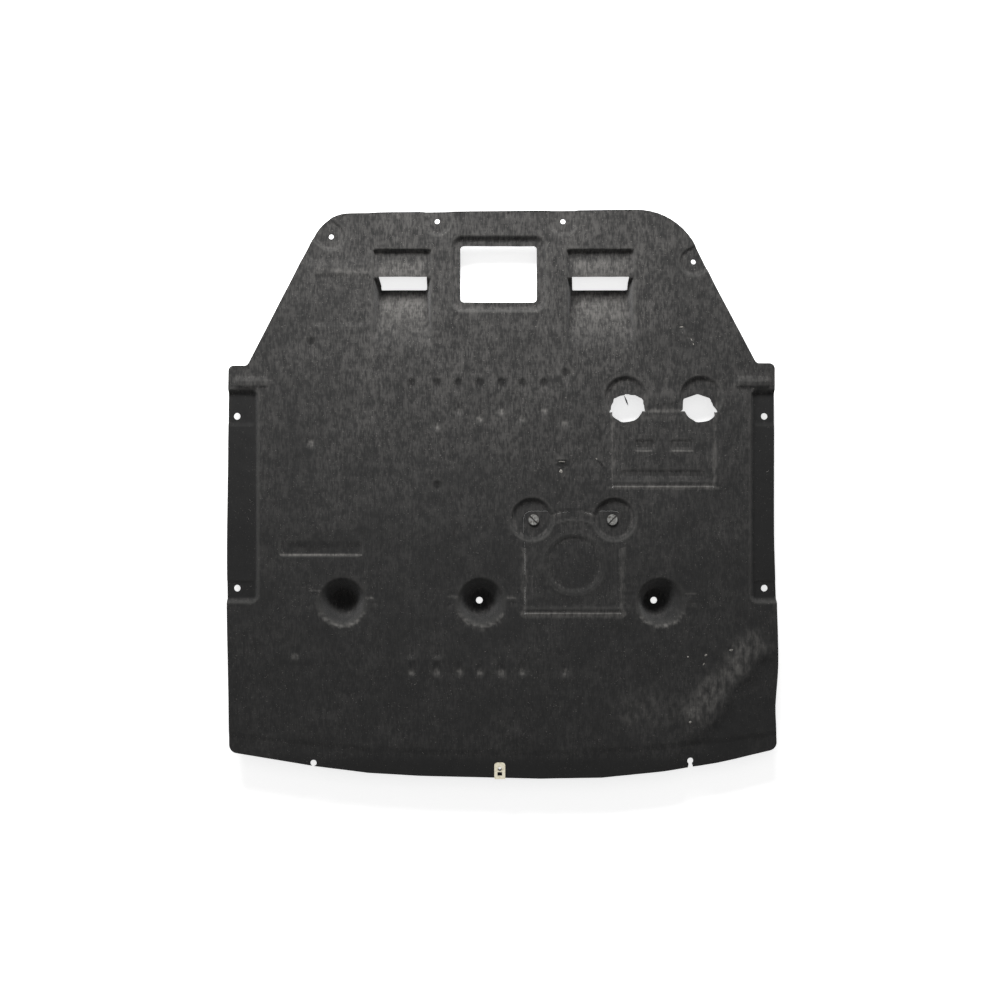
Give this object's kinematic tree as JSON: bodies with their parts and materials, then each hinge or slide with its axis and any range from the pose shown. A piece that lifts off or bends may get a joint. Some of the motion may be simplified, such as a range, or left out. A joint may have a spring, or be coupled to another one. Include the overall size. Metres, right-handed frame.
{
  "type": "engine splash shield",
  "caption": "Moulded fibre engine splash shield with bolt wells, air scoops, a window, hinged service flaps, quarter-turn studs and a clip nut.",
  "frame": {"origin": "middle of the footprint, on the surface that the wells and scoops rest on", "axes": "+X to the vehicle's side that the flaps are on, +Y to the rear of the vehicle, +Z away from the engine, towards the road"},
  "size_m": [0.8846, 0.9116, 0.05],
  "materials": {
    "fibre": "pressed felt, dusty",
    "zinc_steel": "zinc plated",
    "yellow_zinc": "yellow zinc plated spring steel"
  },
  "bodies": {
    "shield": {"shield_panel": "fibre", "clip_nut": "yellow_zinc"},
    "drain_door": {"drain_flap": "fibre"},
    "filter_door": {"filter_flap": "fibre"},
    "left_stud": {"left_turn_stud": "zinc_steel", "left_stud_washer": "zinc_steel"},
    "right_stud": {"right_turn_stud": "zinc_steel", "right_stud_washer": "zinc_steel"}
  },
  "joints": [
    {"name": "drain_flap_fold", "type": "hinge", "parent": "shield", "child": "drain_door", "pos_m": [0.11317, -0.19099, 0.046], "axis": [1, 0, 0], "range_deg": [0, 100]},
    {"name": "filter_flap_fold", "type": "hinge", "parent": "shield", "child": "filter_door", "pos_m": [0.25757, 0.01201, 0.046], "axis": [1, 0, 0], "range_deg": [0, 100]},
    {"name": "left_stud_turn", "type": "hinge", "parent": "drain_door", "child": "left_stud", "pos_m": [0.05017, -0.04099, 0.039], "axis": [0, 0, 1], "range_deg": [-90, 0]},
    {"name": "right_stud_turn", "type": "hinge", "parent": "drain_door", "child": "right_stud", "pos_m": [0.17617, -0.04099, 0.039], "axis": [0, 0, 1], "range_deg": [0, 90]}
  ]
}
